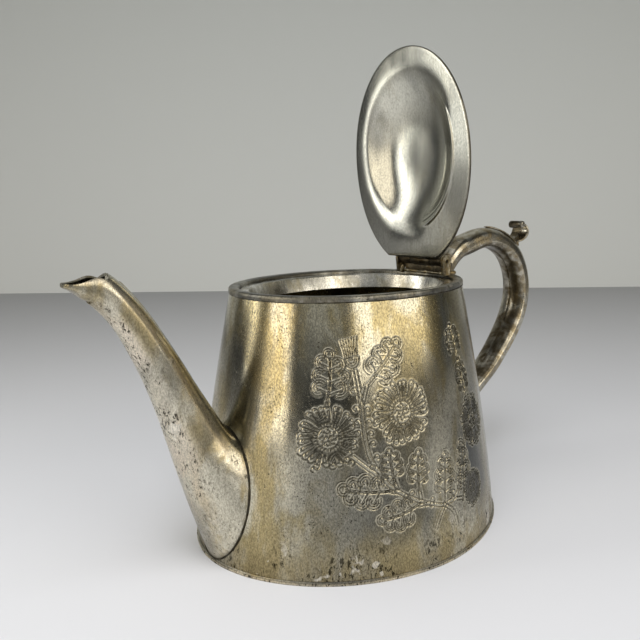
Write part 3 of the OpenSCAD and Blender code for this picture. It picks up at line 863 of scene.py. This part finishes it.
def handleRing(t, phi, inset):
    last = len(handle["line"]) - 1
    if 0 <= t <= last:
        section = tubeSection(handle["line"], t, phi, inset, -1)
    else:
        atTop = t < 0
        u = -t if atTop else t - last
        near = tubeSection(handle["line"], 0 if atTop else last, phi, inset, -1)
        aim = heading(handle["line"], np.array([0.0 if atTop else float(last)]))[0] * (-1 if atTop else 1)
        reach = 9.0 if atTop else 7.0
        bend = near + np.array([aim[0], 0, aim[1]]) * reach
        end = rootRing(handle["topRoot"], phi, inset, 1) if atTop else rootRing(handle["lowRoot"], phi, inset,
            -1)
        section = (1 - u) ** 2 * near + 2 * u * (1 - u) * bend + u ** 2 * end
    if inset == 0:
        # crease along the side, and a fine groove where the halves meet
        fade = np.clip(min(t + 0.8, last + 0.8 - t), 0, 1)
        section[:, 1] -= handle["crease"] * fade * bell(phi, 104, 9)
        seam = 0.3 * fade * bell(np.abs(section[:, 1]), 0, 0.3)
        middle = section.mean(axis=0) * [1, 0, 1]
        inwards = (middle - section) * [1, 0, 1]
        inwards /= np.maximum(np.linalg.norm(inwards, axis=1, keepdims=True), 1e-6)
        section = section + inwards * seam[:, None]
    return section


def makeHandleHalf(name, side, node):
    last = len(handle["line"]) - 1
    steps = np.concatenate([np.linspace(-1, 0, 18, endpoint=False), np.linspace(0, last, 130),
        np.linspace(last, last + 1, 18)[1:]])
    spread = np.concatenate([[0, 0.01, 0.022, 0.04, 0.06], np.linspace(0.09, 0.91, 34),
        [0.94, 0.96, 0.978, 0.99, 1]])
    phi = 180 * spread
    rings, worn, grime = [], [], []
    for t in steps:
        rings.append(np.vstack([handleRing(t, phi, 0), handleRing(t, phi[::-1], handle["sheet"])]))
        # brown inside the loop and at both roots: tarnish plus painted shade where the loop faces the pot and
        # the roots meet the body
        inside = 1 / (1 + np.exp(-(phi - 118) / 8))
        ends = np.maximum(bell(t, -1, 0.35), bell(t, last + 1, 0.2))
        worn.append(np.concatenate([0.3 * bell(phi, 100, 12) + 0.5 * bell(phi, 20, 25) * np.clip(t - 3, 0, 1),
            0 * phi]))
        grime.append(np.concatenate([np.maximum(0.85 * inside, 0.8 * ends), 0 * phi]))
    marks = {"worn": np.array(worn), "grime": np.array(grime)}
    halfShell(name, side, rings, marks, handleFinish, node)


makeHandleHalf("handleNearHalf", 1, "handle_near_half")
makeHandleHalf("handleFarHalf", -1, "handle_far_half")
for name, t in (("handleTopSolder", -1), ("handleLowSolder", len(handle["line"]))):
    edge = handleRing(t, np.linspace(0, 360, 80, endpoint=False), 0)
    finish = solderFinish if t < 0 else seamFinish
    bead(name, edge + [0.2, 0, 0], 0.6, finish, loop=True, unevenness=0.5, seed=t)

thumb = {"leafFrom": 0.95, "leafTo": 2.05, "thick": 1.3,
    # the plate's own line above the leaf: x and z, with half width
    "plate": [[124.6, 127.2, 4.2], [129.2, 128.2, 5.4], [133.0, 130.4, 5.9], [134.6, 133.6, 5.6],
    [133.5, 136.3, 4.9], [131.0, 137.6, 4.6]], "roll": (130.6, 137.1, 2.1, 4.6)}


def sweepStrip(path, halfWidths, halfThick, power=4.0, count=24):
    # a flat strip that bends in the plane of the handle
    path = np.asarray(path, float)
    step = np.gradient(path, axis=0)
    step /= np.linalg.norm(step, axis=1, keepdims=True)
    rings = []
    for (x, z), (dx, dz), w, h in zip(path, step, halfWidths, halfThick):
        out, across = oval(h, w, power, np.linspace(0, 360, count, endpoint=False))
        rings.append(np.stack([x - dz * out, across, z + dx * out], -1))
    return np.array(rings), cappedFaces(len(rings), count)


def makeThumbRest():
    t = np.linspace(thumb["leafFrom"], thumb["leafTo"], 30)
    station, aim = smoothCurve(handle["line"], t), heading(handle["line"], t)
    lift = station[:, 2] + thumb["thick"] / 2 - 0.1
    leaf = station[:, :2] + np.stack([-aim[:, 1] * lift, aim[:, 0] * lift], 1)
    share = np.linspace(0, 1, 30)
    leafWidth = 1.0 + 3.2 * np.sin(share * math.pi * 0.55) ** 0.8
    plate = smoothCurve(thumb["plate"], np.linspace(0.4, len(thumb["plate"]) - 1, 40))
    path = np.vstack([leaf, plate[:, :2]])
    widths = np.concatenate([leafWidth, plate[:, 2]])
    smoothed = widths.copy()
    smoothed[1:-1] = (widths[:-2] + widths[1:-1] + widths[2:]) / 3
    thick = np.concatenate([np.full(30, thumb["thick"] / 2), np.full(40, 0.75)])
    thick[:4] = [0.25, 0.4, 0.55, 0.62]
    rings, faces = sweepStrip(path, smoothed, thick)
    x, z, radius, halfWidth = thumb["roll"]
    ends = [(-1, 0.05), (-1, 0.72), (-0.93, 0.93), (-0.82, 1), (0, 1), (0.82, 1), (0.93, 0.93), (1, 0.72),
        (1, 0.05)]
    roll = lathe([(halfWidth * s, radius * r) for s, r in ends], (x, z), 32)
    for name, rings, faces, grime in (("thumbLeaf", rings, faces, 0.45),
            ("thumbRoll", roll, cappedFaces(len(roll), 32), 0.9)):
        piece = makePiece(name, rings, faces, handleFinish, {"grime": np.full(rings.shape[:2], grime)})
        standFor(piece, "thumb_rest")


makeThumbRest()
print("handle made")

# Hinge

pinLow, pinHigh = frameBox("hinge_pin")
hinge = {"x": (pinLow.x + pinHigh.x) / 2, "z": (pinLow.z + pinHigh.z) / 2, "knuckle": 2.6, "pin": 1.1,
    "middle": 6.7, "gap": 0.3, "barrel": 15.0, "cheek": 1.4, "cheekRadius": 2.8, "cheekFoot": 1.9,
    "openDegrees": 86}


def turned(name, profile, finish):
    # a ring about the hinge's axis, rows are y and radius
    rings = lathe(profile, (hinge["x"], hinge["z"]), 48)
    return makePiece(name, rings, sheetFaces(len(rings), 48, loopRows=True), finish)


def knuckleProfile(y0, y1, outer, inner, soft=0.25):
    return [(y0, inner), (y0, outer - soft), (y0 + soft * 0.3, outer - soft * 0.3), (y0 + soft, outer),
        (y1 - soft, outer), (y1 - soft * 0.3, outer - soft * 0.3), (y1, outer - soft), (y1, inner)]


def makeCheek(name, outline, low):
    count = len(outline)
    points = [(x, y, z) for y in (low, low + hinge["cheek"]) for x, z in outline]
    faces = [tuple(range(count)), tuple(range(2 * count - 1, count - 1, -1))]
    faces += [(j, (j + 1) % count, count + (j + 1) % count, count + j) for j in range(count)]
    return softenEdges(makePiece(name, points, faces, solderFinish), 0.45)


def makeHinge():
    knuckle, pin, barrel = hinge["knuckle"], hinge["pin"], hinge["barrel"]
    inner = hinge["middle"] + hinge["gap"]
    for name, low, high, node in (("hingeKnuckleNear", -barrel, -inner, "hinge_knuckle_near"),
            ("hingeKnuckleFar", inner, barrel, "hinge_knuckle_far")):
        standFor(turned(name, knuckleProfile(low, high, knuckle, pin), hingeFinish), node)
    outline = [(hinge["x"] + hinge["cheekRadius"] * math.cos(a),
        hinge["z"] + hinge["cheekRadius"] * math.sin(a)) for a in np.radians(np.linspace(-25, 205, 19))]
    outline += [(hinge["x"] + x, body["height"] + 0.05) for x in (-hinge["cheekFoot"], hinge["cheekFoot"])]
    for name, low, node in (("hingeCheekNear", -barrel - hinge["cheek"], "hinge_cheek_near"),
            ("hingeCheekFar", barrel, "hinge_cheek_far")):
        standFor(makeCheek(name, outline, low), node)
    reach = pinHigh.y
    half = [(reach - 0.2, pin), (reach, pin - 0.2), (reach, 0.02)]
    standFor(turned("hingePin", [(-y, r) for y, r in half[::-1]] + half, pinFinish), "hinge_pin")


makeHinge()


def softenedCopy(node, name, width, segments):
    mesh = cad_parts[node].data.copy()
    work = bmesh.new()
    work.from_mesh(mesh)
    bmesh.ops.remove_doubles(work, verts=work.verts, dist=1e-6)
    bmesh.ops.dissolve_limit(work, angle_limit=math.radians(4), verts=work.verts, edges=work.edges)
    work.to_mesh(mesh)
    work.free()
    mesh.materials.clear()
    mesh.materials.append(hingeFinish)
    return softenEdges(addObject(name, mesh), width, segments, 35)


def makeBearer():
    standFor(softenedCopy("hinge_bearer", "hingeBearer", 0.35, 3), "hinge_bearer")
    bearerLow, bearerHigh = frameBox("hinge_bearer")
    top = body["height"]
    foot = [(bearerLow.x + 0.3, y, top + 0.25) for y in np.linspace(-13.5, 13.5, 40)]
    bead("bearerSolderFront", foot, 0.75, solderFinish, unevenness=0.7, lumpMm=2.5, seed=2.0)
    for side, name in ((-1, "bearerSolderNear"), (1, "bearerSolderFar")):
        run = [(x, side * (13.4 + 0.05 * (x - 50)), top + 0.3) for x in np.linspace(bearerLow.x, bearerHigh.x,
            16)]
        bead(name, run, 1.1, solderFinish, unevenness=0.6, lumpMm=3, seed=4.0 + side)
        lump = [(hinge["x"] + dx, side * (15.0 + dy), top + dz) for dx, dy,
            dz in ((-0.5, 0.4, -0.6), (0.2, 0.3, 0.6), (0.6, 0.0, 1.8), (0.8, -0.4, 3.0))]
        bead(name + "Foot", smoothCurve(lump, np.linspace(0, 3, 14)), 1.15, solderFinish,
            unevenness=0.35, lumpMm=3, seed=8.0 + side)


makeBearer()
print("hinge made")

# Lid, shaped closed and swung open about the pin

lid = {"halfLength": 53.1, "halfWidth": 38.5, "under": rim["seatZ"] + 0.3, "sheet": 1.2, "domeHeight": 8.5,
    "domeShare": 0.72, "domeX": -3.5, "domeLength": 35.0, "domeWidth": 27.7, "edge": hinge["x"] - 2.25,
    "knobRadius": 6.6, "collarHeight": 4.0, "finialHeight": 13.0}
swing = (Matrix.Translation(Vector((hinge["x"], 0, hinge["z"])))
    @ Matrix.Rotation(math.radians(hinge["openDegrees"]), 4, "Y")
    @ Matrix.Translation(Vector((-hinge["x"], 0, -hinge["z"]))))


def opened(points):
    flat = np.asarray(points, float).reshape(-1, 3)
    turn = np.array(swing)
    return flat @ turn[:3, :3].T + turn[:3, 3]


def domeRise(share, degrees):
    # soft shoulder all round, with a doubled crease along the near side
    crisp = 1 / (1 + np.exp(-(degrees - 238) / 7)) / (1 + np.exp((degrees - 344) / 3.5))
    soft = 2.4 - 2.0 * crisp
    rise = np.logaddexp(0, lid["domeHeight"] * (1 - (share / lid["domeShare"]) ** 3.6) / soft)
    rise *= lid["domeHeight"] / np.logaddexp(0, lid["domeHeight"] / soft)
    return rise + crisp * (0.3 * bell(share, 0.70, 0.012) - 0.5 * bell(share, 0.742, 0.013))


def lidRing(share, z, degrees):
    inDome, k = min(share / lid["domeShare"], 1), max(0, (share - lid["domeShare"]) / (1 - lid["domeShare"]))
    power = squareness(body["height"])
    domeX, domeY = oval(lid["domeLength"] * inDome, lid["domeWidth"] * inDome, power, degrees)
    edgeX, edgeY = oval(lid["halfLength"], lid["halfWidth"], power, degrees)
    x = (1 - k) * (lid["domeX"] + domeX) + k * np.minimum(edgeX, lid["edge"])
    return np.stack([x, (1 - k) * domeY + k * edgeY, z + 0 * x], -1)


def makeLid():
    shares = np.concatenate([[0.012], np.linspace(0.05, 0.66, 24), np.linspace(0.675, 0.78, 16),
        np.linspace(0.80, 0.985, 9)])
    degrees = np.linspace(0, 360, 300, endpoint=False)
    low, high = lid["under"], lid["under"] + lid["sheet"]
    rings = [lidRing(s, low + domeRise(s, degrees), degrees) for s in shares]
    rings += [lidRing(s, low + z, degrees) for s, z in ((0.995, 0.08), (1.0, 0.3), (1.0, lid["sheet"] - 0.3),
        (0.995, lid["sheet"] - 0.08))]
    rings += [lidRing(s, high + domeRise(s, degrees), degrees) for s in shares[::-1]]
    random = np.random.default_rng(3)
    rings = np.array(rings)
    for i in range(5):
        # slight waves left by the hammer and by use
        kx, ky, turn = random.uniform(-0.09, 0.09), random.uniform(-0.09, 0.09), random.uniform(0, 6)
        rings[:, :, 2] += 0.05 * np.sin(kx * rings[:, :, 0] + ky * rings[:, :, 1] + turn)
    faces = cappedFaces(len(rings), len(degrees))
    edgeGrime = np.concatenate([np.clip((shares - 0.9) * 2, 0, 0.25), [0.7, 1, 1, 0.7], 0.4 + 0 * shares])
    plate = makePiece("lidPlate", opened(rings), faces, lidFinish,
        {"grime": np.repeat(edgeGrime, len(degrees))}, 55)
    standFor(plate, "lid_plate", "lid")

    top = lid["under"] + lid["sheet"] + lid["domeHeight"]
    collar = [(0.05, 0.0), (5.3, 0.0), (5.5, 0.15), (5.5, 0.65), (5.3, 0.95), (4.2, 1.4), (3.0, 2.0),
        (2.5, 2.7), (2.4, 3.4), (2.4, 4.0), (0.05, 4.0)]
    knobHeight = lid["finialHeight"] - lid["collarHeight"]
    swell = [(2.2 + (lid["knobRadius"] - 2.2) * math.cos(a), knobHeight / 2 + (knobHeight / 2 - 0.6)
        * math.sin(a)) for a in np.radians(np.linspace(-62, 68, 18))]
    knob = [(0.05, 0.0), (2.4, 0.0)] + swell + [(2.6, knobHeight - 0.1), (1.2, knobHeight), (0.05, knobHeight)]
    for name, profile, z, node in (("finialCollar", collar, top, "finial_collar"),
            ("finialKnob", knob, top + lid["collarHeight"], "finial_knob")):
        shape = lathe([(z + h, r) for r, h in profile], (lid["domeX"], 0), 64, "z")
        marks = {"grime": np.full(shape.shape[:2], 0.35)}
        piece = makePiece(name, opened(shape), cappedFaces(len(shape), 64), lidFinish, marks, 50)
        standFor(piece, node, "lid")


makeLid()


def makeLidHinge():
    profile = knuckleProfile(-hinge["middle"], hinge["middle"], hinge["knuckle"], hinge["pin"] + 0.05)
    knuckle = turned("lidKnuckle", profile, hingeFinish)
    leaf = softenedCopy("lid_leaf", "lidLeaf", 0.2, 2)
    for piece, node in ((knuckle, "lid_knuckle"), (leaf, "lid_leaf")):
        standFor(piece, node, "lid")


makeLidHinge()
print("lid made")

# Room, lights and camera

room = {"floorTones": ("#dbdce0", "#a0a1a3"), "wallTones": ("#d5d8d7", "#b0b4b3"), "floorHalf": 2.2,
    "wallFrom": 0.806, "bearing": 38.4}
ahead = np.array([math.sin(math.radians(room["bearing"])), math.cos(math.radians(room["bearing"]))])
beside = np.array([ahead[1], -ahead[0]])


def shadedMattFinish(name, tones, roughness, direction, start, end):
    # a matt surface whose tone drifts along one direction, from start to end in metres, as painted shade for
    # light falling off
    finish, tree, shader, place = newFinish(name)
    along = addNode(tree, "ShaderNodeVectorMath", {0: place, 1: direction},
        operation="DOT_PRODUCT").outputs["Value"]
    share = remap(tree, along, start, end, smooth=False)
    tone = addNode(tree, "ShaderNodeMix", {"Factor": share, 6: linear(tones[0]), 7: linear(tones[1])},
        data_type="RGBA")
    tree.links.new(tone.outputs[2], shader.inputs["Base Color"])
    shader.inputs["Roughness"].default_value = roughness
    return finish


def makePlane(name, corners, finish):
    mesh = bpy.data.meshes.new(name)
    mesh.from_pydata(corners, [], [(0, 1, 2, 3)])
    mesh.materials.append(finish)
    addObject(name, mesh)


half = room["floorHalf"]
# the floor is painted darker towards the back: painted shade for the light falling off
floorFinish = shadedMattFinish("paleFloor", room["floorTones"], 0.6, (*ahead, 0), -0.1, room["wallFrom"])
makePlane("floor", [(-half, -half, 0), (half, -half, 0), (half, half, 0), (-half, half, 0)], floorFinish)
leftFoot, rightFoot = (ahead * room["wallFrom"] + side * beside * 3 for side in (-1, 1))
# the backdrop is painted darker towards the top: painted shade for the light falling off
backdropPaintAndShade = shadedMattFinish("paleWall", room["wallTones"], 0.8, (0, 0, 1), 0, 0.5)
makePlane("backdrop", [(*leftFoot, 0), (*rightFoot, 0), (*rightFoot, 3), (*leftFoot, 3)], backdropPaintAndShade)

world = bpy.data.worlds.new("studioAir")
bpy.context.scene.world = world
world.use_nodes = True
air = world.node_tree.nodes["Background"].inputs
air["Color"].default_value, air["Strength"].default_value = linear("#c3c8cc"), 0.12


def makeLight(name, place, target, width, height, watts, tint, glossy=True):
    lamp = bpy.data.lights.new(name, "AREA")
    lamp.shape = "RECTANGLE"
    lamp.size, lamp.size_y, lamp.energy = width, height, watts
    lamp.color = linear(tint)[:3]
    holder = addObject(name, lamp)
    holder.location = place
    holder.rotation_euler = (Vector(target) - Vector(place)).to_track_quat("-Z", "Y").to_euler()
    holder.visible_glossy = glossy


# tall windows round the pot, angles in degrees: bearing from -Y towards +X, half spread,
# lower and upper edge; then distance, radiance and tint
windows = {"wideWindow": (17.5, 29, 4.5, 40, 1.5, 2.0, "#fff7e8"),
    "leftWindow": (-83, 14, -2, 40, 1.5, 2.3, "#fff4e0"), "slitWindow": (-118.5, 4.5, 0, 40, 1.5, 3.0,
    "#fffaf0"), "dimWall": (-40, 20, 7, 45, 1.5, 0.3, "#f4f4ee"),
    "nearPanel": (-123, 12.5, 12, 46, 0.407, 2.0, "#fcfcf8")}
for name, (bearing, spread, low, high, distance, radiance, tint) in windows.items():
    bearing = math.radians(bearing)
    bottom, top = (0.06 + distance * math.tan(math.radians(a)) for a in (low, high))
    width, height = 2 * distance * math.tan(math.radians(spread)), top - bottom
    x, y = distance * math.sin(bearing), -distance * math.cos(bearing)
    makeLight(name, (x, y, (bottom + top) / 2), (0, 0, (bottom + top) / 2), width, height,
        radiance * math.pi * width * height, tint)
makeLight("topSoft", (-0.28, -0.38, 0.9), (-0.2, -0.25, 0), 0.7, 0.7, 7.5, "#fbfcff", glossy=False)
makeLight("topGlow", (-0.1, -0.1, 1.4), (0, 0, 0), 1.3, 1.3, 2.6, "#fdfdfa")

cameraSet = {"place": (-0.2061, -0.2370, 0.1535), "turn": -38.43, "down": 10.38, "roll": -0.63, "lens": 37.39}
camera = addObject("camera", bpy.data.cameras.new("camera"))
camera.data.lens = cameraSet["lens"]
camera.data.sensor_width = 36
camera.data.clip_start = 0.01
camera.matrix_world = (Matrix.Translation(cameraSet["place"]) @ Matrix.Rotation(math.radians(cameraSet["turn"]),
    4, "Z") @ Matrix.Rotation(math.radians(90 - cameraSet["down"]), 4, "X")
    @ Matrix.Rotation(math.radians(cameraSet["roll"]), 4, "Z"))
bpy.context.scene.camera = camera
bpy.context.scene.view_settings.view_transform = "Standard"
